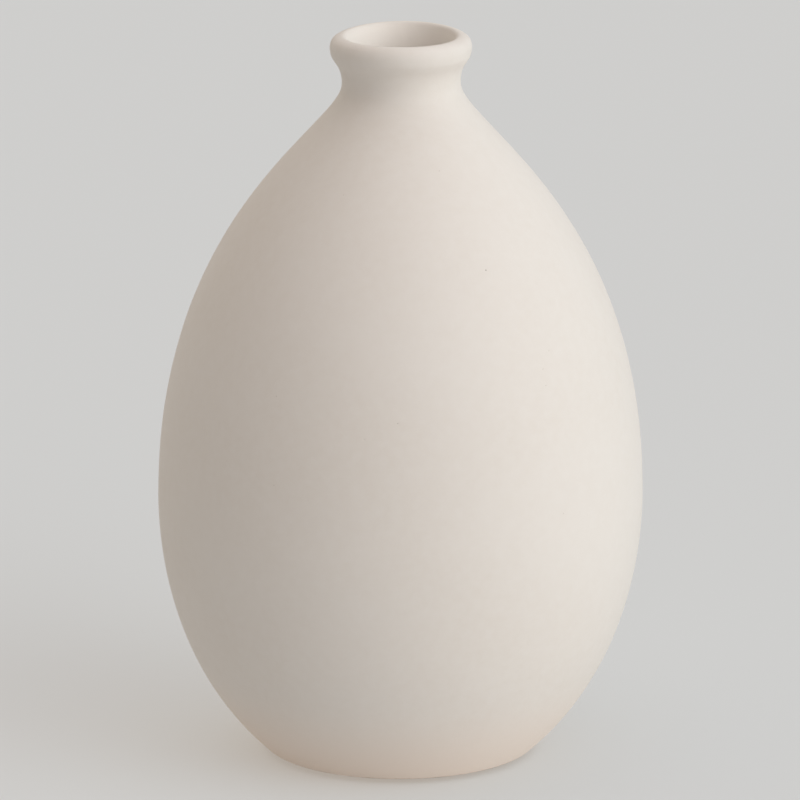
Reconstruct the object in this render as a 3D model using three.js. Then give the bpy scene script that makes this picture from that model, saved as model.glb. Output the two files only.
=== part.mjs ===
// A ceramic bud vase: an egg-shaped stoneware body with a short waisted neck and a small rolled lip.
// The body is one fired clay shell. A coat of liner glaze makes its inside watertight, and three felt
// dots under the foot keep the bare clay off the table.
//
// Millimetres, +Z up. The origin is the centre of the plane that the vase stands on.
import * as THREE from "three";

// Driving dimensions. Heights of the body are measured from the foot's bearing face.
const BODY_HEIGHT = 152.3;
const BELLY_RADIUS = 50.8;
const BELLY_HEIGHT = 54.2;
const NECK_RADIUS = 12.3;
const NECK_HEIGHT = 142.1;
const LIP_RADIUS = 14.7;
const LIP_ROLL = 2.5; // from the lip's widest ring up to its crest
const CREST_RADIUS = 12.7;
const MOUTH_RADIUS = 11.8; // where the roll of the lip meets the mouth's tapered inside
const MOUTH_EDGE = 1; // from the crest down to that meeting
const MOUTH_TAPER = THREE.MathUtils.degToRad(21);
const FOOT_RADIUS = 28.5; // of the sharp corner that the foot's edge rounds off
const FOOT_EDGE_RADIUS = 1;
const FLARE_ANGLE = THREE.MathUtils.degToRad(42.2); // of the side just above the foot

// How long each curve of the side holds its direction as it leaves one ring and reaches the next.
const FOOT_TENSION = 26.4;
const BELLY_TENSION_BELOW = 11.3;
const BELLY_TENSION_ABOVE = 60.6;
const NECK_TENSION_BELOW = 9.4;
const NECK_TENSION_ABOVE = 5;
const LIP_TENSION = 3.2;
const MOUTH_TENSION = 5.5;
const THROAT_TENSION = 2;

// The clay wall, which is thinnest at the neck, and the underside.
const WALL_AT_FOOT = 3.6;
const WALL_AT_NECK = 2.5;
const FLOOR_THICKNESS = 4.6;
const FLOOR_CORNER = 7; // how far the inside corner between floor and wall is rounded
const RECESS_RADIUS = 19;
const RECESS_DEPTH = 1.4;
const RECESS_CORNER = 0.9;

// The liner glaze stops in a feathered edge below the lip, where the outer coat is rolled over it.
const GLAZE_THICKNESS = 0.5;
const GLAZE_LINE_DEPTH = 10; // below the crest of the lip
const GLAZE_FEATHER = 3; // the height over which it thins
const GLAZE_EDGE_SHARE = 0.2; // of its thickness, left at the edge

const PAD_COUNT = 3;
const PAD_RADIUS = 3;
const PAD_THICKNESS = 1;
const PAD_EDGE = 0.15;

const BOND_GAP = 0.05; // left between pieces that are fused or glued together
const TURN_SEGMENTS = 48;
const PAD_SEGMENTS = 24;
const SIDE_DIVISIONS = [12, 16, 5]; // foot to belly, belly to neck, neck to lip
const ROLL_DIVISIONS = 5;
const MOUTH_DIVISIONS = 5;
const CORNER_DIVISIONS = 5;
const EDGE_DIVISIONS = 3;

const CLAY_COLOUR = 0xe4ddd6;
const GLAZE_COLOUR = 0xebe5dc;
const FELT_COLOUR = 0xc4bcb0;

const point = (radius, height) => new THREE.Vector2(radius, height);

// The rounded edge between the foot's bearing face and the side.
function footEdge() {
  const flare = point(Math.cos(FLARE_ANGLE), Math.sin(FLARE_ANGLE));
  const corner = point(FOOT_RADIUS, 0);
  const cornerLength = FOOT_EDGE_RADIUS * Math.tan(FLARE_ANGLE / 2);
  const bearingEdge = point(FOOT_RADIUS - cornerLength, 0);
  const sideStart = corner.clone().addScaledVector(flare, cornerLength);
  const sideHandle = sideStart.clone().addScaledVector(flare, FOOT_TENSION);
  return { edge: new THREE.QuadraticBezierCurve(bearingEdge, corner, sideStart), sideHandle };
}

// The outside of the side: foot to belly, belly to neck, and neck to the lip's widest ring.
function sideCurves({ edge, sideHandle }) {
  const lipHeight = BODY_HEIGHT - LIP_ROLL;
  const lowerBody = new THREE.CubicBezierCurve(
    edge.v2,
    sideHandle,
    point(BELLY_RADIUS, BELLY_HEIGHT - BELLY_TENSION_BELOW),
    point(BELLY_RADIUS, BELLY_HEIGHT),
  );
  const shoulder = new THREE.CubicBezierCurve(
    point(BELLY_RADIUS, BELLY_HEIGHT),
    point(BELLY_RADIUS, BELLY_HEIGHT + BELLY_TENSION_ABOVE),
    point(NECK_RADIUS, NECK_HEIGHT - NECK_TENSION_BELOW),
    point(NECK_RADIUS, NECK_HEIGHT),
  );
  const mouth = new THREE.CubicBezierCurve(
    point(NECK_RADIUS, NECK_HEIGHT),
    point(NECK_RADIUS, NECK_HEIGHT + NECK_TENSION_ABOVE),
    point(LIP_RADIUS, lipHeight - LIP_TENSION),
    point(LIP_RADIUS, lipHeight),
  );
  return [lowerBody, shoulder, mouth];
}

// Points of the side's outside face and, beside each one up to the neck, the point of its inside face.
function wallPoints(curves) {
  const outer = [];
  const inner = [];
  curves.forEach((piece, index) => {
    for (let i = index === 0 ? 0 : 1; i <= SIDE_DIVISIONS[index]; i++) {
      const at = i / SIDE_DIVISIONS[index];
      const here = piece.getPoint(at);
      const tangent = piece.getTangent(at);
      const inward = point(-tangent.y, tangent.x);
      const wall = THREE.MathUtils.mapLinear(here.y, 0, NECK_HEIGHT, WALL_AT_FOOT, WALL_AT_NECK);
      outer.push(here);
      if (here.y <= NECK_HEIGHT) {
        inner.push(here.clone().addScaledVector(inward, wall));
      }
    }
  });
  return { outer, inner };
}

// Over the lip from its widest ring to its crest, and down to the inside of the mouth.
function lipRoll() {
  const outside = new THREE.EllipseCurve(
    CREST_RADIUS,
    BODY_HEIGHT - LIP_ROLL,
    LIP_RADIUS - CREST_RADIUS,
    LIP_ROLL,
    0,
    Math.PI / 2,
  );
  const inside = new THREE.QuadraticBezierCurve(
    point(CREST_RADIUS, BODY_HEIGHT),
    point(MOUTH_RADIUS + MOUTH_EDGE * Math.tan(MOUTH_TAPER), BODY_HEIGHT),
    point(MOUTH_RADIUS, BODY_HEIGHT - MOUTH_EDGE),
  );
  return [...outside.getPoints(ROLL_DIVISIONS).slice(1), ...inside.getPoints(ROLL_DIVISIONS).slice(1)];
}

// The inside of the mouth: it tapers evenly below its edge, then eases into the inside of the neck.
function mouthInside(throat) {
  const edge = point(MOUTH_RADIUS, BODY_HEIGHT - MOUTH_EDGE);
  const taper = point(-Math.sin(MOUTH_TAPER), -Math.cos(MOUTH_TAPER));
  const curve = new THREE.CubicBezierCurve(
    edge,
    edge.clone().addScaledVector(taper, MOUTH_TENSION),
    point(throat.x, throat.y + THROAT_TENSION),
    throat,
  );
  return curve.getPoints(MOUTH_DIVISIONS).slice(1, -1);
}

// The inside of the clay from the mouth down to the centre of the floor.
function clayInside(inner) {
  const wall = inner.filter((p) => p.y > FLOOR_THICKNESS + FLOOR_CORNER).reverse();
  const last = wall.at(-1);
  const slope = last.clone().sub(wall.at(-2)).normalize();
  const meeting = last.clone().addScaledVector(slope, (FLOOR_THICKNESS - last.y) / slope.y);
  const floorStart = point(meeting.x - FLOOR_CORNER, FLOOR_THICKNESS);
  const corner = new THREE.QuadraticBezierCurve(last, meeting, floorStart);
  return [
    ...mouthInside(wall[0]),
    ...wall,
    ...corner.getPoints(CORNER_DIVISIONS).slice(1),
    point(0, FLOOR_THICKNESS),
  ];
}

// The underside: a shallow recess, and the ring around it that the foot bears on.
function underside(edge) {
  const recessEdge = new THREE.QuadraticBezierCurve(
    point(RECESS_RADIUS - RECESS_CORNER, RECESS_DEPTH),
    point(RECESS_RADIUS, RECESS_DEPTH),
    point(RECESS_RADIUS + RECESS_CORNER, 0),
  );
  const recess = [point(0, RECESS_DEPTH), ...recessEdge.getPoints(CORNER_DIVISIONS)];
  return [...recess, ...edge.getPoints(EDGE_DIVISIONS)];
}

// The part of a falling outline that lies below a height.
function below(outline, height) {
  const last = outline.findLastIndex((p) => p.y >= height);
  const share = (height - outline[last].y) / (outline[last + 1].y - outline[last].y);
  const cut = outline[last].clone().lerp(outline[last + 1], share);
  return [cut, ...outline.slice(last + 1)];
}

// An outline that ends on the axis, moved into the hollow beside it by a distance at each point.
function movedInwards(outline, distance) {
  return outline.map((here, i) => {
    if (here.x === 0) {
      return point(0, here.y + distance(here));
    }
    const along = outline[i + 1].clone().sub(outline[Math.max(i - 1, 0)]).normalize();
    return here.clone().addScaledVector(point(along.y, -along.x), distance(here));
  });
}

// The liner glaze covers the inside of the clay below the glaze line, and thins away at that line.
function liningProfile(inside) {
  const glazeLine = BODY_HEIGHT - GLAZE_LINE_DEPTH;
  const covered = below(inside, glazeLine);
  const thickness = (here) =>
    GLAZE_THICKNESS * Math.min(1, GLAZE_EDGE_SHARE + (glazeLine - here.y) / GLAZE_FEATHER);
  const back = movedInwards(covered, () => BOND_GAP);
  const face = movedInwards(covered, (here) => BOND_GAP + thickness(here));
  return [...back.reverse(), ...face];
}

// A felt dot, whose edges are slightly rounded.
function padProfile() {
  const top = PAD_THICKNESS - BOND_GAP;
  return [
    point(0, 0),
    point(PAD_RADIUS - PAD_EDGE, 0),
    point(PAD_RADIUS, PAD_EDGE),
    point(PAD_RADIUS, top - PAD_EDGE),
    point(PAD_RADIUS - PAD_EDGE, top),
    point(0, top),
  ];
}

// A solid of revolution about +Z.
function turned(name, profile, segments, material) {
  const mesh = new THREE.Mesh(new THREE.LatheGeometry(profile, segments), material);
  mesh.name = name;
  mesh.rotation.x = Math.PI / 2;
  return mesh;
}

const clay = new THREE.MeshStandardMaterial({ color: CLAY_COLOUR, roughness: 0.7, metalness: 0 });
const glaze = new THREE.MeshStandardMaterial({ color: GLAZE_COLOUR, roughness: 0.15, metalness: 0 });
const felt = new THREE.MeshStandardMaterial({ color: FELT_COLOUR, roughness: 1, metalness: 0 });

const foot = footEdge();
const { outer, inner } = wallPoints(sideCurves(foot));
const inside = clayInside(inner);
const bodyProfile = [...underside(foot.edge), ...outer.slice(1), ...lipRoll(), ...inside];
const body = turned("stoneware_body", bodyProfile, TURN_SEGMENTS, clay);
const lining = turned("glaze_lining", liningProfile(inside), TURN_SEGMENTS, glaze);

const vase = new THREE.Group();
for (const fired of [body, lining]) {
  fired.position.z = PAD_THICKNESS;
  vase.add(fired);
}

// The felt dots stand at the inner edge of the ring that the foot bears on, the first one at the back.
const padCircle = RECESS_RADIUS + RECESS_CORNER + PAD_RADIUS;
for (let i = 0; i < PAD_COUNT; i++) {
  const angle = (i * 2 * Math.PI) / PAD_COUNT + Math.PI / 2;
  const pad = turned(`felt_pad_${i + 1}`, padProfile(), PAD_SEGMENTS, felt);
  pad.position.set(padCircle * Math.cos(angle), padCircle * Math.sin(angle), 0);
  vase.add(pad);
}

export default vase;
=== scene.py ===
"""A matte stoneware bud vase, on a plain pale floor in soft studio light.

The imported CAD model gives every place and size. Its clay shell, glaze lining and felt dots are faceted, so
each one is rebuilt here as a fine mesh on the same outline, and gets its surface.
"""
import math

import bpy
import numpy as np
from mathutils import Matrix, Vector, noise


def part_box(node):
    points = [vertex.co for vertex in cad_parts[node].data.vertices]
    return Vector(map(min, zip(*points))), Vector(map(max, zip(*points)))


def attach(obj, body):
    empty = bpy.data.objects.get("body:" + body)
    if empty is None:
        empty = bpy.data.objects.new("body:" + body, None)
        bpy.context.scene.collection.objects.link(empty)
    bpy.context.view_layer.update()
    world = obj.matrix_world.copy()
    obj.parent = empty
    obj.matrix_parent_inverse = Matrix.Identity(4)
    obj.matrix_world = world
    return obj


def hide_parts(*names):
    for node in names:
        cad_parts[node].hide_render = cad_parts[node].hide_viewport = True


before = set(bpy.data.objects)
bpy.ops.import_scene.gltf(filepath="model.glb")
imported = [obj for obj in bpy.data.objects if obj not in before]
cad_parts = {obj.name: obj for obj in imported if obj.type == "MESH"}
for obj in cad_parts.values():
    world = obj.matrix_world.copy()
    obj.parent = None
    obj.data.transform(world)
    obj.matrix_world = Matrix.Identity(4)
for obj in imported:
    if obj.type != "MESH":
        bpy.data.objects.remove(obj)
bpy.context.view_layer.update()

MM = 0.001
BODY_LOW, BODY_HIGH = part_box("stoneware_body")
BODY_HEIGHT = BODY_HIGH.z - BODY_LOW.z

# Fineness of the meshes.
AROUND_BODY = 224
AROUND_PAD = 72
FINEST_STEP = 0.3 * MM
COARSEST_STEP = 1.7 * MM
TURN_PER_STEP = math.radians(3)
SHARP_TURN = math.radians(40)
CURVE_STEPS = 10  # between two points of a CAD outline, before it is respaced
PAD_STEPS = {"finest": 0.06 * MM, "coarsest": 0.2 * MM}
NEAR_AXIS = 1 * MM  # within this radius the surface doesn't swell

# What firing and a hand-finished rim leave behind.
LEAN = 0.5 * MM  # from foot to lip, towards +X
WAVINESS = 0.05 * MM
SPONGING = 0.025 * MM
SPONGING_SPAN = 9 * MM
SPONGING_START, SPONGING_END = 0.01, 0.05  # shares of the height between which it grows
# Slow swells of the side. Each is a share of the waviness, how many times it comes around, how far it turns
# from foot to lip, and where it starts, both in radians.
SWELLS = [(1, 2, 5, 0), (0.6, 3, -9, 1), (0.5, 0, 21, 0)]

# How the rim departs from a level circle. Each wave is how often it comes around, its size in
# millimetres, and the bearing of a crest. Bearings are in degrees, with the front at 0 and +X at 90.
RIM_START, RIM_END = 0.88, 0.98  # shares of the height between which the departure grows
RIM_DROP = 0.15 * MM
RIM_WAVES_UP = [(1, 0.15, 153), (2, 0.125, 172)]
RIM_WAVES_OUT = [(1, 0.23, 270), (2, 0.03, 102)]
MOUTH_PINCH = 0.7 * MM  # how much thicker the lip is at the left and right than at the front and back
PINCH_START, PINCH_FULL = -2 * MM, 0.5 * MM  # along the outline, past the crest of the lip
PINCH_FADES, PINCH_END = 5 * MM, 9 * MM

# Pinholes in the coat, which gas leaves as it escapes in the kiln. Each is a bearing, and then a height
# above the foot and a radius in millimetres.
PINHOLES = [
    (27.8, 110.4, 0.12),
    (-1.3, 80.9, 0.075),
    (40, 89.5, 0.06),
    (39.5, 87.1, 0.06),
    (43, 93.5, 0.055),
    (-9, 78.9, 0.05),
    (-26, 124, 0.055),
]
MORE_PINHOLES = 18  # at the back and sides, within the three ranges that follow
MORE_BEARINGS = (75, 285)
MORE_HEIGHTS = (14, 112)
MORE_RADII = (0.05, 0.11)
PINHOLE_SEED = 7
PINHOLE_DEPTH = 1.3  # in radii
PINHOLE_SIDES = 8
PIT_GUARD = 0.4  # of the pierced face's shortest side, the reach of a flat ring around the pit
# The rings of a pit, from its edge inwards. Each is a reach in radii, a drop as a share of the depth, and
# how far it takes on the painted shade of the pit.
PIT_RINGS = [(1.35, 0, 0), (1, 0.1, 0.5), (0.8, 0.7, 0.9)]

FELT_FUZZ = 0.05 * MM
FELT_GRAIN = 0.35 * MM
FELT_FRACTAL = (0.8, 2.0, 3)  # its fall-off, the step between its scales, and how many scales there are
FELT_FACES = 4  # the weight of height against radius in the direction in which the fuzz sinks in

# Surfaces.
COAT_LINE = 0.35 * MM  # above the foot, where the coat was wiped away
COAT_LINE_BLUR = 0.12 * MM
COAT_LINE_SPAN, COAT_LINE_WANDER = 3 * MM, 0.5 * MM
COAT_COLOUR = (0.78, 0.725, 0.67, 1)
COAT_WARM = (0.765, 0.705, 0.645, 1)
COAT_PALE = (0.80, 0.75, 0.70, 1)
COAT_PAINTED_FOOT_BOUNCE = (0.83, 0.72, 0.635, 1)  # painted warm bounce light from the floor, strongest at the foot
# The height above the foot at which the painted bounce light has faded out.
FOOT_BOUNCE_BELOW = 22 * MM
THIN_GLAZE_AND_PAINTED_MOUTH_LIGHT = (0.88, 0.825, 0.765, 1)  # painted light: a paler colour inside the mouth, where it lies in shade; also the liner glaze's colour where it thins at its upper edge
MOUTH_LIGHT_START, MOUTH_LIGHT_END = 0.2 * MM, 1.6 * MM  # past the crest of the lip
MOUTH_LIGHT_SHARE = 0.85
CLOUD_SPAN = 38 * MM
MOTTLE_SPAN, MOTTLE_SHARE = 2.2 * MM, 0.5
SPECK_SPACING, SPECK_SHARE = 4.2 * MM, 0.3
SPECK_COLOUR = (0.34, 0.28, 0.22, 1)
# Painted shade: the dark colour of a pinhole's inside, standing in for the shade in it.
PINHOLE_PAINTED_SHADE = (0.30, 0.25, 0.20, 1)
CLAY_COLOUR = (0.40, 0.33, 0.26, 1)
CLAY_PALE = (0.56, 0.49, 0.41, 1)
SAND_SPAN, SAND_DEPTH = 0.7 * MM, 0.03 * MM
PEEL_SPAN, PEEL_DEPTH = 1.6 * MM, 0.02 * MM
FINE_SPAN, FINE_DEPTH = 0.25 * MM, 0.009 * MM
COAT_ROUGHNESS = (0.66, 0.78)
CLAY_ROUGHNESS = 0.9
GLAZE_COLOUR = (0.80, 0.74, 0.66, 1)
GLAZE_PALE = (0.86, 0.81, 0.75, 1)
GLAZE_DEEP = (0.60, 0.55, 0.45, 1)
GLAZE_WANDER_SPAN, GLAZE_WANDER = 9 * MM, 4 * MM
POOL_SHARE, POOL_FULL, POOL_GONE = 0.55, 6 * MM, 30 * MM  # the last two above the foot
THIN_SHARE, THIN_START, THIN_FULL = 0.6, 14 * MM, 7 * MM  # the last two below the lip
STREAK_SPAN, STREAK_STRETCH = 5 * MM, 0.18
GLAZE_ROUGHNESS, GLAZE_ROUGHNESS_SPAN = (0.1, 0.2), 2 * MM
GLAZE_WAVE_SPAN, GLAZE_WAVE_DEPTH = 4 * MM, 0.05 * MM
CRAZING_COLOUR = (0.42, 0.35, 0.28, 1)
CRAZING_SPACING, CRAZING_SHARE = 5 * MM, 0.35
CRAZING_BEND_SPAN, CRAZING_BEND = 6 * MM, 1.6 * MM
FELT_DARK = (0.30, 0.27, 0.225, 1)
FELT_PALE = (0.64, 0.60, 0.53, 1)
FIBRE_SPAN, FIBRE_STRETCH, FIBRE_DEPTH = 0.08 * MM, 0.12, 0.08 * MM
FIBRE_CROSSING = math.radians(62)
FELT_PATCH_SPAN, FELT_PATCH_SHARE = 1.2 * MM, 0.4

# The studio. A lamp is its bearing and elevation in degrees, how narrow it is, and its colour.
FLOOR_SIZE = 60  # in metres
FLOOR_COLOUR = (0.305, 0.366, 0.41)
FLOOR_GLOW = (0.357, 0.311, 0.272)
BACKDROP = (0.623, 0.622, 0.608)
AMBIENT = (0.03, 0.025, 0.02)
LAMPS = [
    (56, 15, 7, (3.85, 3.82, 3.76)),
    (105, 25, 4, (0.05, 0.20, 0.26)),
    (-80, 20, 4, (0.20, 0.16, 0.13)),
    (-120, 45, 3, (0.45, 0.44, 0.36)),
    (180, 25, 4, (0.5, 0.48, 0.46)),
    (0, 90, 3, (0.78, 0.71, 0.74)),
]

# The camera, far back and a little above, as for a product photograph.
VIEW_ELEVATION = 14.55
VIEW_DISTANCE = 10 * BODY_HEIGHT
VIEW_CLIP = 100
SENSOR = 36  # in millimetres, as is the lens
LENS = 327.6
VIEW_SHIFT = (-0.0011, -0.0117)


# ---------------------------------------------------------------------------------------------- outlines


def meridian(node):
    """The outline that a CAD node was turned from, as rows of radius and height, from axis to axis."""
    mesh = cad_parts[node].data
    low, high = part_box(node)
    corners = np.array([v.co for v in mesh.vertices]) - [(low.x + high.x) / 2, (low.y + high.y) / 2, 0]
    touching = 0.002 * MM
    in_plane = (np.abs(corners[:, 0]) < touching) & (corners[:, 1] < touching)

    def place(i):
        return round(-corners[i, 1], 6), round(corners[i, 2], 6)

    beside = {}
    for edge in mesh.edges:
        a, b = edge.vertices
        if in_plane[a] and in_plane[b] and place(a) != place(b):
            beside.setdefault(place(a), set()).add(place(b))
            beside.setdefault(place(b), set()).add(place(a))
    start, end = sorted((p for p, near in beside.items() if len(near) == 1), key=lambda p: p[1])
    walk = [start]
    while walk[-1] != end:
        walk.append(next(p for p in beside[walk[-1]] if p not in walk[-2:]))
    return np.abs(np.array(walk))


def split_at_corners(line):
    """The stretches of a line between the points where it turns sharply."""
    heading = np.arctan2(*np.diff(line, axis=0).T[::-1])
    turn = np.abs((np.diff(heading) + math.pi) % (2 * math.pi) - math.pi)
    cuts = [0, *(np.flatnonzero(turn > SHARP_TURN) + 1), len(line) - 1]
    return [line[a : b + 1] for a, b in zip(cuts, cuts[1:])]


def smoothed(stretch):
    """A centripetal Catmull-Rom curve through the points of a stretch. At the axis it runs level."""
    before = stretch[1] * [-1, 1] if stretch[0][0] == 0 else 2 * stretch[0] - stretch[1]
    after = stretch[-2] * [-1, 1] if stretch[-1][0] == 0 else 2 * stretch[-1] - stretch[-2]
    points = np.vstack([before, stretch, after])
    knots = np.sqrt(np.linalg.norm(np.diff(points, axis=0), axis=1))[:, None]
    slope = np.diff(points, axis=0) / knots
    across = (points[2:] - points[:-2]) / (knots[1:] + knots[:-1])
    tangent = slope[:-1] - across + slope[1:]
    t = np.linspace(0, 1, CURVE_STEPS, endpoint=False)[:, None]
    line = []
    for i in range(len(stretch) - 1):
        gap = knots[i + 1]
        line.append(
            (2 * t**3 - 3 * t**2 + 1) * stretch[i]
            + (t**3 - 2 * t**2 + t) * gap * tangent[i]
            + (3 * t**2 - 2 * t**3) * stretch[i + 1]
            + (t**3 - t**2) * gap * tangent[i + 1]
        )
    return np.vstack([*line, stretch[-1]])


def respaced(line, finest=FINEST_STEP, coarsest=COARSEST_STEP):
    """The line with its points closer together where it bends, and on the axis at its ends."""
    run = np.diff(line, axis=0)
    length = np.linalg.norm(run, axis=1)
    heading = np.arctan2(run[:, 1], run[:, 0])
    turn = np.abs((np.diff(heading) + math.pi) % (2 * math.pi) - math.pi)
    bend = np.concatenate([[0], turn / ((length[1:] + length[:-1]) / 2), [0]])
    spacing = np.clip(TURN_PER_STEP / np.maximum(bend, 1e-9), finest, coarsest)
    along = np.concatenate([[0], np.cumsum(length)])
    steps = np.concatenate([[0], np.cumsum(length * (1 / spacing[1:] + 1 / spacing[:-1]) / 2)])
    even = np.linspace(0, steps[-1], math.ceil(steps[-1]) + 1)
    where = np.interp(even, steps, along)
    return np.column_stack([np.interp(where, along, line[:, 0]), np.interp(where, along, line[:, 1])])


def fine_outline(node, **spacing):
    stretches = [smoothed(s) for s in split_at_corners(meridian(node))]
    joined = np.vstack([stretches[0], *(s[1:] for s in stretches[1:])])
    return respaced(joined, **spacing)


# ------------------------------------------------------------------------------------------------ meshes


def closed_faces(rows, around):
    """Faces of a shape that is turned about the axis, whose two poles come after its rings."""
    here = np.arange(around)
    beyond = (here + 1) % around
    first, last = rows * around, rows * around + 1
    faces = [(first, b, a) for a, b in zip(here, beyond)]
    for row in range(rows - 1):
        low, high = row * around, (row + 1) * around
        faces += [(low + a, low + b, high + b, high + a) for a, b in zip(here, beyond)]
    top = (rows - 1) * around
    return faces + [(top + a, top + b, last) for a, b in zip(here, beyond)]


def rings(outline, around):
    """Points of the rings that an outline sweeps, and then of its two poles."""
    angle = np.arange(around) * 2 * math.pi / around
    level = np.ones(around)
    radius, height = outline[1:-1].T
    swept = [np.outer(radius, np.cos(angle)), np.outer(radius, np.sin(angle)), np.outer(height, level)]
    poles = [[0, 0, outline[0][1]], [0, 0, outline[-1][1]]]
    return np.vstack([np.stack(swept, axis=-1).reshape(-1, 3), poles])


def pit_points(around, radius):
    """Points of a round pit in the face with the given corners, ring by ring and then its bottom, and how far
    each takes on the painted shade of the pit."""
    centre = around.mean(axis=0)
    outward = np.cross(around[2] - around[0], around[3] - around[1])
    outward /= np.linalg.norm(outward)
    along = around[0] - centre
    along /= np.linalg.norm(along)
    across = np.cross(outward, along)
    guard = PIT_GUARD * np.linalg.norm(around - np.roll(around, 1, axis=0), axis=1).min()
    sink = PINHOLE_DEPTH * radius
    points, shares = [], []
    for reach, drop, share in [(guard, 0, 0), *((r * radius, d * sink, share) for r, d, share in PIT_RINGS)]:
        for k in range(PINHOLE_SIDES):
            turn = k * 2 * math.pi / PINHOLE_SIDES
            spoke = along * math.cos(turn) + across * math.sin(turn)
            points.append(centre + reach * spoke - drop * outward)
            shares.append(share)
    return [*points, centre - sink * outward], [*shares, 1.0]


def pit_faces(corners, first):
    """Faces that join a pit, whose points start at the index first, to the corners of the pierced face."""
    patch = []
    for i in range(4):
        corner, following = corners[i], corners[(i + 1) % 4]
        a, b, c = (first + (2 * i + j) % PINHOLE_SIDES for j in range(3))
        patch += [(corner, b, a), (corner, following, c, b)]
    for ring in range(len(PIT_RINGS)):
        low = first + ring * PINHOLE_SIDES
        high = low + PINHOLE_SIDES
        for k in range(PINHOLE_SIDES):
            beyond = (k + 1) % PINHOLE_SIDES
            patch.append((low + k, low + beyond, high + beyond, high + k))
    low = first + len(PIT_RINGS) * PINHOLE_SIDES
    bottom = low + PINHOLE_SIDES
    return patch + [(low + k, low + (k + 1) % PINHOLE_SIDES, bottom) for k in range(PINHOLE_SIDES)]


def pierced(points, faces, spots):
    """Sinks a small round pit into the face under each spot: a face's index and the pit's radius."""
    points, faces = list(points), list(faces)
    pit_shade_shares = [0.0] * len(points)
    for index, radius in spots:
        corners = faces[index]
        added, shares = pit_points(np.array([points[c] for c in corners]), radius)
        patch = pit_faces(corners, len(points))
        points += added
        pit_shade_shares += shares
        faces[index] = patch[0]
        faces += patch[1:]
    return points, faces, pit_shade_shares


def new_piece(name, points, faces):
    mesh = bpy.data.meshes.new(name)
    mesh.from_pydata([tuple(map(float, p)) for p in points], [], [tuple(map(int, f)) for f in faces])
    mesh.shade_smooth()
    piece = bpy.data.objects.new(name, mesh)
    bpy.context.scene.collection.objects.link(piece)
    return piece


def eased(x, start, end):
    """0 up to start, 1 from end on, and smooth between."""
    t = np.clip((x - start) / (end - start), 0, 1)
    return t * t * (3 - 2 * t)


def sponged(points):
    """A gentle unevenness at each point, between about -1 and 1."""
    return np.array([noise.noise(Vector(p) / SPONGING_SPAN) for p in points])


def waves(angle, parts):
    """The sum of a few waves around the axis, in metres."""
    total = 0
    for times, size, bearing in parts:
        total = total + size * MM * np.cos(times * (angle - math.radians(bearing - 90)))
    return total


def as_fired(points):
    """Leans, tilts and waves the vase by as little as a fired clay shell moves."""
    x, y, z = points.T
    share = (z - BODY_LOW.z) / BODY_HEIGHT
    angle = np.arctan2(y, x)
    radius = np.hypot(x, y)
    wave = sum(size * np.sin(times * angle + turns * share + start) for size, times, turns, start in SWELLS)
    swell = WAVINESS * wave * np.sin(math.pi * np.clip(share, 0, 1)) / 2
    swell = swell + SPONGING * sponged(points) * eased(share, SPONGING_START, SPONGING_END)
    radius = np.where(radius > NEAR_AXIS, radius + swell, radius)
    rim = eased(share, RIM_START, RIM_END)
    radius = radius + rim * waves(angle, RIM_WAVES_OUT)
    rise = rim * (waves(angle, RIM_WAVES_UP) - RIM_DROP)
    leaned = radius * np.cos(angle) + LEAN * (share - 0.5)
    return np.column_stack([leaned, radius * np.sin(angle), z + rise])


def pinhole_places():
    """The bearing, height and radius of every pinhole."""
    random = np.random.default_rng(PINHOLE_SEED)
    bearing = random.uniform(*MORE_BEARINGS, MORE_PINHOLES)
    height = random.uniform(*MORE_HEIGHTS, MORE_PINHOLES)
    radius = random.uniform(*MORE_RADII, MORE_PINHOLES)
    return PINHOLES + list(zip(bearing, height, radius))


def pinhole_spots(outline, around):
    """The face under each pinhole, and its radius. The faces that meet the first pole come first."""
    crest = int(outline[:, 1].argmax())
    spots = {}
    for bearing, height, radius in pinhole_places():
        row = int(np.searchsorted(outline[1:crest, 1], BODY_LOW.z + height * MM)) - 1
        column = int((math.radians(bearing - 90) % (2 * math.pi)) / (2 * math.pi) * around)
        spots[around + row * around + column] = radius * MM
    return spots.items()


def past_crest(outline, around):
    """How far past the crest of the lip each point of the body lies, along the outline."""
    run = np.concatenate([[0], np.cumsum(np.linalg.norm(np.diff(outline, axis=0), axis=1))])
    past = run - run[outline[:, 1].argmax()]
    return np.array([*np.repeat(past[1:-1], around), past[0], past[-1]])


def pinched(points, past):
    """Narrows the mouth a little from left to right, as fingers do while the lip is soft."""
    share = eased(past, PINCH_START, PINCH_FULL) - eased(past, PINCH_FADES, PINCH_END)
    x, y, z = points.T
    radius = np.maximum(np.hypot(x, y), NEAR_AXIS)
    kept = 1 - share * MOUTH_PINCH * (x / radius) ** 2 / radius
    return np.column_stack([x * kept, y * kept, z])


def vase_body():
    outline = fine_outline("stoneware_body")
    past = past_crest(outline, AROUND_BODY)
    points = as_fired(pinched(rings(outline, AROUND_BODY), past))
    faces = closed_faces(len(outline) - 2, AROUND_BODY)
    # The pits also carry how far each point takes on the painted shade of a pinhole.
    points, faces, pit_shade_shares = pierced(points, faces, pinhole_spots(outline, AROUND_BODY))
    body = new_piece("vase_body", points, faces)
    # How far each point takes on the painted light inside the mouth.
    mouth_light = np.zeros(len(points))
    mouth_light[: len(past)] = eased(past, MOUTH_LIGHT_START, MOUTH_LIGHT_END)
    for name, values in (("pit", pit_shade_shares), ("mouth_light", mouth_light)):
        body.data.attributes.new(name, "FLOAT", "POINT").data.foreach_set("value", values)
    return body


def inner_glaze():
    outline = fine_outline("glaze_lining")
    points = as_fired(rings(outline, AROUND_BODY))
    return new_piece("inner_glaze", points, closed_faces(len(outline) - 2, AROUND_BODY))


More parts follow.
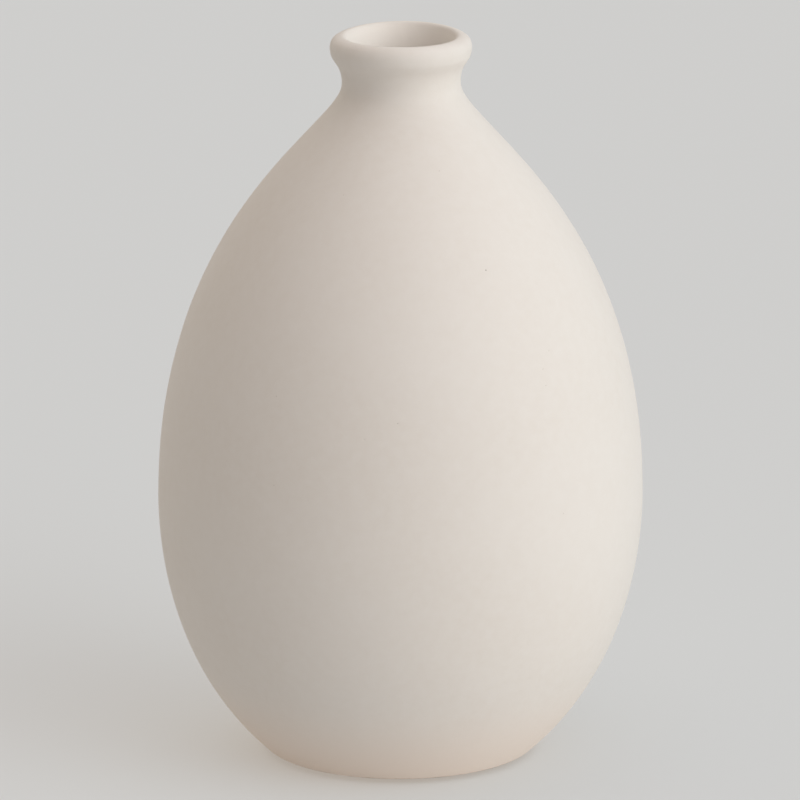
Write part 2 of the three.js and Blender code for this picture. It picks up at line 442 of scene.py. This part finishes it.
def felt_dot(node):
    """A dot cut from pressed felt, a little fuzzy at its faces and edge."""
    low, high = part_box(node)
    outline = fine_outline(node, **PAD_STEPS)
    points = rings(outline, AROUND_PAD)
    centre = np.array([(low.x + high.x) / 2, (low.y + high.y) / 2, 0])
    middle = (low.z + high.z) / 2
    placed = []
    for p in points:
        at = Vector(p + centre)
        fuzz = FELT_FUZZ * noise.fractal(at / FELT_GRAIN, *FELT_FRACTAL)
        inwards = Vector((p[0], p[1], FELT_FACES * (p[2] - middle)))
        if inwards.length > 0:
            inwards.normalize()
        placed.append(at - inwards * abs(fuzz))
    faces = closed_faces(len(outline) - 2, AROUND_PAD)
    return new_piece(node.replace("felt_pad", "felt_dot"), placed, faces)


# --------------------------------------------------------------------------------------------- materials


def add(tree, kind, inputs=None, **settings):
    """A shader node. An input is linked if its value is another node's output, and set if not."""
    node = tree.nodes.new("ShaderNode" + kind)
    for key, value in settings.items():
        setattr(node, key, value)
    for key, value in (inputs or {}).items():
        if isinstance(value, bpy.types.NodeSocket):
            tree.links.new(value, node.inputs[key])
        else:
            node.inputs[key].default_value = value
    return node


def place(tree):
    return add(tree, "TexCoord").outputs["Object"]


def grain(tree, span, detail=2.0, roughness=0.5, at=None):
    """Noise from 0 to 1, whose features are about a span across."""
    inputs = {"Vector": at or place(tree), "Scale": 1 / span, "Detail": detail, "Roughness": roughness}
    return add(tree, "TexNoise", inputs).outputs["Fac"]


def ranged(tree, value, low, high, to_low=0.0, to_high=1.0, smooth=False):
    inputs = {"Value": value, "From Min": low, "From Max": high, "To Min": to_low, "To Max": to_high}
    kind = "SMOOTHSTEP" if smooth else "LINEAR"
    return add(tree, "MapRange", inputs, interpolation_type=kind).outputs["Result"]


def combined(tree, operation, a, b):
    return add(tree, "Math", {0: a, 1: b}, operation=operation).outputs[0]


def mixed(tree, share, a, b):
    """Two colours mixed by a share."""
    return add(tree, "Mix", {0: share, 6: a, 7: b}, data_type="RGBA").outputs[2]


def bumped(tree, height, depth, under=None):
    inputs = {"Height": height, "Distance": depth, "Strength": 1.0}
    if under is not None:
        inputs["Normal"] = under
    return add(tree, "Bump", inputs).outputs["Normal"]


def new_material(name):
    material = bpy.data.materials.new(name)
    material.use_nodes = True
    return material, material.node_tree, material.node_tree.nodes["Principled BSDF"]


def height_above_foot(tree):
    z = add(tree, "SeparateXYZ", {0: place(tree)}).outputs["Z"]
    return combined(tree, "SUBTRACT", z, BODY_LOW.z)


def specks(tree):
    """How far each point takes on the colour of a speck: few of the cells around hold one."""
    cells = add(tree, "TexVoronoi", {"Vector": place(tree), "Scale": 1 / SPECK_SPACING})
    chosen = add(tree, "SeparateColor", {0: cells.outputs["Color"]}).outputs[0]
    near = ranged(tree, cells.outputs["Distance"], 0.016, 0.045, 1, 0, smooth=True)
    return combined(tree, "MULTIPLY", near, ranged(tree, chosen, 0.72, 0.8, 0, SPECK_SHARE))


def coat_colour(tree):
    """The coat, clouded and mottled, with painted warm bounce light towards the foot, painted light inside
    the mouth and painted shade in its pinholes.
    """
    cloud = ranged(tree, grain(tree, CLOUD_SPAN, 3.0), 0.35, 0.65)
    mottle = ranged(tree, grain(tree, MOTTLE_SPAN, 3.0, 0.6), 0.3, 0.7)
    colour = mixed(tree, cloud, COAT_COLOUR, COAT_WARM)
    colour = mixed(tree, combined(tree, "MULTIPLY", mottle, MOTTLE_SHARE), colour, COAT_PALE)
    colour = mixed(tree, specks(tree), colour, SPECK_COLOUR)
    # Painted light: the colour warms towards the foot, standing in for warm light bounced up from the floor.
    glaze_thinning_and_foot_bounce = ranged(tree, height_above_foot(tree), 0, FOOT_BOUNCE_BELOW, 1, 0, smooth=True)
    colour = mixed(tree, glaze_thinning_and_foot_bounce, colour, COAT_PAINTED_FOOT_BOUNCE)
    # Painted light: the shaded inside of the mouth is mixed towards a paler colour.
    mouth_light = add(tree, "Attribute", attribute_name="mouth_light").outputs["Fac"]
    colour = mixed(tree, combined(tree, "MULTIPLY", mouth_light, MOUTH_LIGHT_SHARE), colour, THIN_GLAZE_AND_PAINTED_MOUTH_LIGHT)
    # Painted shade: the pinholes are darkened towards a dark colour.
    pit = add(tree, "Attribute", attribute_name="pit").outputs["Fac"]
    return mixed(tree, pit, colour, PINHOLE_PAINTED_SHADE)


def bare_share(tree):
    """1 where the coat was wiped away, up to a line that wanders a little, and 0 above it."""
    wander = combined(tree, "MULTIPLY", grain(tree, COAT_LINE_SPAN), COAT_LINE_WANDER)
    line = combined(tree, "ADD", height_above_foot(tree), wander)
    return ranged(tree, line, COAT_LINE, COAT_LINE + COAT_LINE_BLUR, 1, 0, smooth=True)


def coat_material():
    """The matte outer coat, and the bare clay under the foot, where it was wiped away."""
    material, tree, shader = new_material("matte_coat")
    bare = bare_share(tree)
    sand = ranged(tree, grain(tree, SAND_SPAN, 4.0, 0.7), 0.35, 0.7)
    fine = grain(tree, FINE_SPAN, 3.0, 0.6)
    colour = mixed(tree, bare, coat_colour(tree), mixed(tree, sand, CLAY_COLOUR, CLAY_PALE))
    rough = add(tree, "Mix", {0: bare, 2: ranged(tree, fine, 0.3, 0.7, *COAT_ROUGHNESS), 3: CLAY_ROUGHNESS})
    surface = bumped(tree, grain(tree, PEEL_SPAN, 2.0), PEEL_DEPTH)
    surface = bumped(tree, fine, FINE_DEPTH, surface)
    surface = bumped(tree, combined(tree, "MULTIPLY", sand, bare), SAND_DEPTH, surface)
    tree.links.new(colour, shader.inputs["Base Color"])
    tree.links.new(rough.outputs[0], shader.inputs["Roughness"])
    tree.links.new(surface, shader.inputs["Normal"])
    return material


def crazing(tree):
    """How far each point takes on the colour of a fine, slightly bent crack."""
    inputs = {"Vector": place(tree), "Scale": 1 / CRAZING_BEND_SPAN, "Detail": 2.0}
    wander = add(tree, "TexNoise", inputs).outputs["Color"]
    inputs = {0: wander, 1: (CRAZING_BEND, CRAZING_BEND, CRAZING_BEND)}
    bent = add(tree, "VectorMath", inputs, operation="MULTIPLY").outputs[0]
    at = add(tree, "VectorMath", {0: place(tree), 1: bent}, operation="ADD").outputs[0]
    inputs = {"Vector": at, "Scale": 1 / CRAZING_SPACING}
    cells = add(tree, "TexVoronoi", inputs, feature="DISTANCE_TO_EDGE")
    return ranged(tree, cells.outputs["Distance"], 0.004, 0.014, CRAZING_SHARE, 0, smooth=True)


def glaze_material():
    """The glossy liner glaze: thinner at its upper edge, deeper in colour where it pools, finely crazed."""
    material, tree, shader = new_material("liner_glaze")
    wander = combined(tree, "MULTIPLY", grain(tree, GLAZE_WANDER_SPAN), GLAZE_WANDER)
    up = combined(tree, "ADD", height_above_foot(tree), wander)
    pooled = ranged(tree, up, POOL_FULL, POOL_GONE, POOL_SHARE, 0)
    glaze_thinning_and_foot_bounce = ranged(tree, up, BODY_HEIGHT - THIN_START, BODY_HEIGHT - THIN_FULL, 0, THIN_SHARE)
    upright = add(tree, "Mapping", {"Vector": place(tree), "Scale": (1, 1, STREAK_STRETCH)}).outputs[0]
    streaks = ranged(tree, grain(tree, STREAK_SPAN, 3.0, at=upright), 0.3, 0.7)
    colour = mixed(tree, streaks, GLAZE_COLOUR, GLAZE_PALE)
    colour = mixed(tree, pooled, colour, GLAZE_DEEP)
    colour = mixed(tree, glaze_thinning_and_foot_bounce, colour, THIN_GLAZE_AND_PAINTED_MOUTH_LIGHT)
    colour = mixed(tree, crazing(tree), colour, CRAZING_COLOUR)
    rough = ranged(tree, grain(tree, GLAZE_ROUGHNESS_SPAN, 3.0), 0.3, 0.7, *GLAZE_ROUGHNESS)
    surface = bumped(tree, grain(tree, GLAZE_WAVE_SPAN, 2.0), GLAZE_WAVE_DEPTH)
    tree.links.new(colour, shader.inputs["Base Color"])
    tree.links.new(rough, shader.inputs["Roughness"])
    tree.links.new(surface, shader.inputs["Normal"])
    shader.inputs["Coat Weight"].default_value = 0.3
    shader.inputs["Coat Roughness"].default_value = 0.06
    return material


def fibres_along(tree, turned_by):
    """Matted fibres, from 0 to 1, that run one way."""
    inputs = {"Vector": place(tree), "Rotation": (0, 0, turned_by), "Scale": (1, FIBRE_STRETCH, 1)}
    return grain(tree, FIBRE_SPAN, 3.0, 0.6, add(tree, "Mapping", inputs).outputs[0])


def felt_material():
    """Pressed felt: short matted fibres, lighter and darker."""
    material, tree, shader = new_material("pressed_felt")
    fibres = combined(tree, "MAXIMUM", fibres_along(tree, 0), fibres_along(tree, FIBRE_CROSSING))
    patches = ranged(tree, grain(tree, FELT_PATCH_SPAN), 0.35, 0.65, 0, FELT_PATCH_SHARE)
    colour = mixed(tree, ranged(tree, fibres, 0.4, 0.72), FELT_DARK, FELT_PALE)
    colour = mixed(tree, patches, colour, FELT_DARK)
    tree.links.new(colour, shader.inputs["Base Color"])
    tree.links.new(bumped(tree, fibres, FIBRE_DEPTH), shader.inputs["Normal"])
    shader.inputs["Roughness"].default_value = 0.95
    shader.inputs["Specular IOR Level"].default_value = 0.2
    shader.inputs["Sheen Weight"].default_value = 0.3
    return material


def floor_material():
    material, tree, shader = new_material("studio_floor")
    shader.inputs["Base Color"].default_value = (*FLOOR_COLOUR, 1)
    shader.inputs["Roughness"].default_value = 0.9
    shader.inputs["Specular IOR Level"].default_value = 0.1
    shader.inputs["Emission Color"].default_value = (*FLOOR_GLOW, 1)
    shader.inputs["Emission Strength"].default_value = 1.0
    return material


# ---------------------------------------------------------------------------------------------- the vase

coat, glaze, felt = coat_material(), glaze_material(), felt_material()
made = [
    (vase_body(), "stoneware_body", "stoneware", coat),
    (inner_glaze(), "glaze_lining", "liner_glaze", glaze),
]
for node in sorted(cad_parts):
    if node.startswith("felt_pad"):
        made.append((felt_dot(node), node, "felt", felt))
for piece, node, slot, material in made:
    piece.data.materials.append(material)
    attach(piece, "root")
    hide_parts(node)

# ------------------------------------------------------------------------------------- floor, light, camera


def direction(bearing, elevation):
    """A unit vector. Bearings are in degrees, with the front at 0 and +X at 90."""
    turn, rise = math.radians(bearing), math.radians(elevation)
    return math.sin(turn) * math.cos(rise), -math.cos(turn) * math.cos(rise), math.sin(rise)


def soft_studio(lamps, ambient, backdrop):
    """Light from all around, with a broad soft source for each lamp, and an even backdrop behind."""
    world = bpy.data.worlds.new("studio")
    bpy.context.scene.world = world
    world.use_nodes = True
    tree = world.node_tree
    out, lit = tree.nodes["World Output"], tree.nodes["Background"]
    toward = add(tree, "TexCoord").outputs["Generated"]
    total = add(tree, "RGB").outputs[0]
    total.default_value = (*ambient, 1)
    for bearing, elevation, focus, colour in lamps:
        inputs = {0: toward, 1: direction(bearing, elevation)}
        facing = add(tree, "VectorMath", inputs, operation="DOT_PRODUCT")
        level = combined(tree, "POWER", combined(tree, "MAXIMUM", facing.outputs["Value"], 0.0), focus)
        glow = add(tree, "VectorMath", {0: colour, "Scale": level}, operation="SCALE").outputs[0]
        total = add(tree, "VectorMath", {0: total, 1: glow}, operation="ADD").outputs[0]
    tree.links.new(total, lit.inputs["Color"])
    plain = add(tree, "Background", {"Color": (*backdrop, 1)}).outputs[0]
    seen = add(tree, "LightPath").outputs["Is Camera Ray"]
    choice = add(tree, "MixShader", {0: seen, 1: lit.outputs[0], 2: plain})
    tree.links.new(choice.outputs[0], out.inputs["Surface"])


def studio_floor():
    half = FLOOR_SIZE / 2
    corners = [(-half, -half, 0), (half, -half, 0), (half, half, 0), (-half, half, 0)]
    floor = new_piece("floor", corners, [(0, 1, 2, 3)])
    floor.data.materials.append(floor_material())


studio_floor()
soft_studio(LAMPS, AMBIENT, BACKDROP)

camera = bpy.data.objects.new("camera", bpy.data.cameras.new("camera"))
bpy.context.scene.collection.objects.link(camera)
aim = Vector((0, 0, BODY_LOW.z + BODY_HEIGHT / 2))
camera.location = aim + Vector(direction(0, VIEW_ELEVATION)) * VIEW_DISTANCE
camera.rotation_euler = (math.radians(90 - VIEW_ELEVATION), 0, 0)
camera.data.sensor_width = SENSOR
camera.data.lens = LENS
camera.data.shift_x, camera.data.shift_y = VIEW_SHIFT
camera.data.clip_end = VIEW_CLIP
bpy.context.scene.camera = camera
bpy.context.scene.view_settings.view_transform = "Standard"
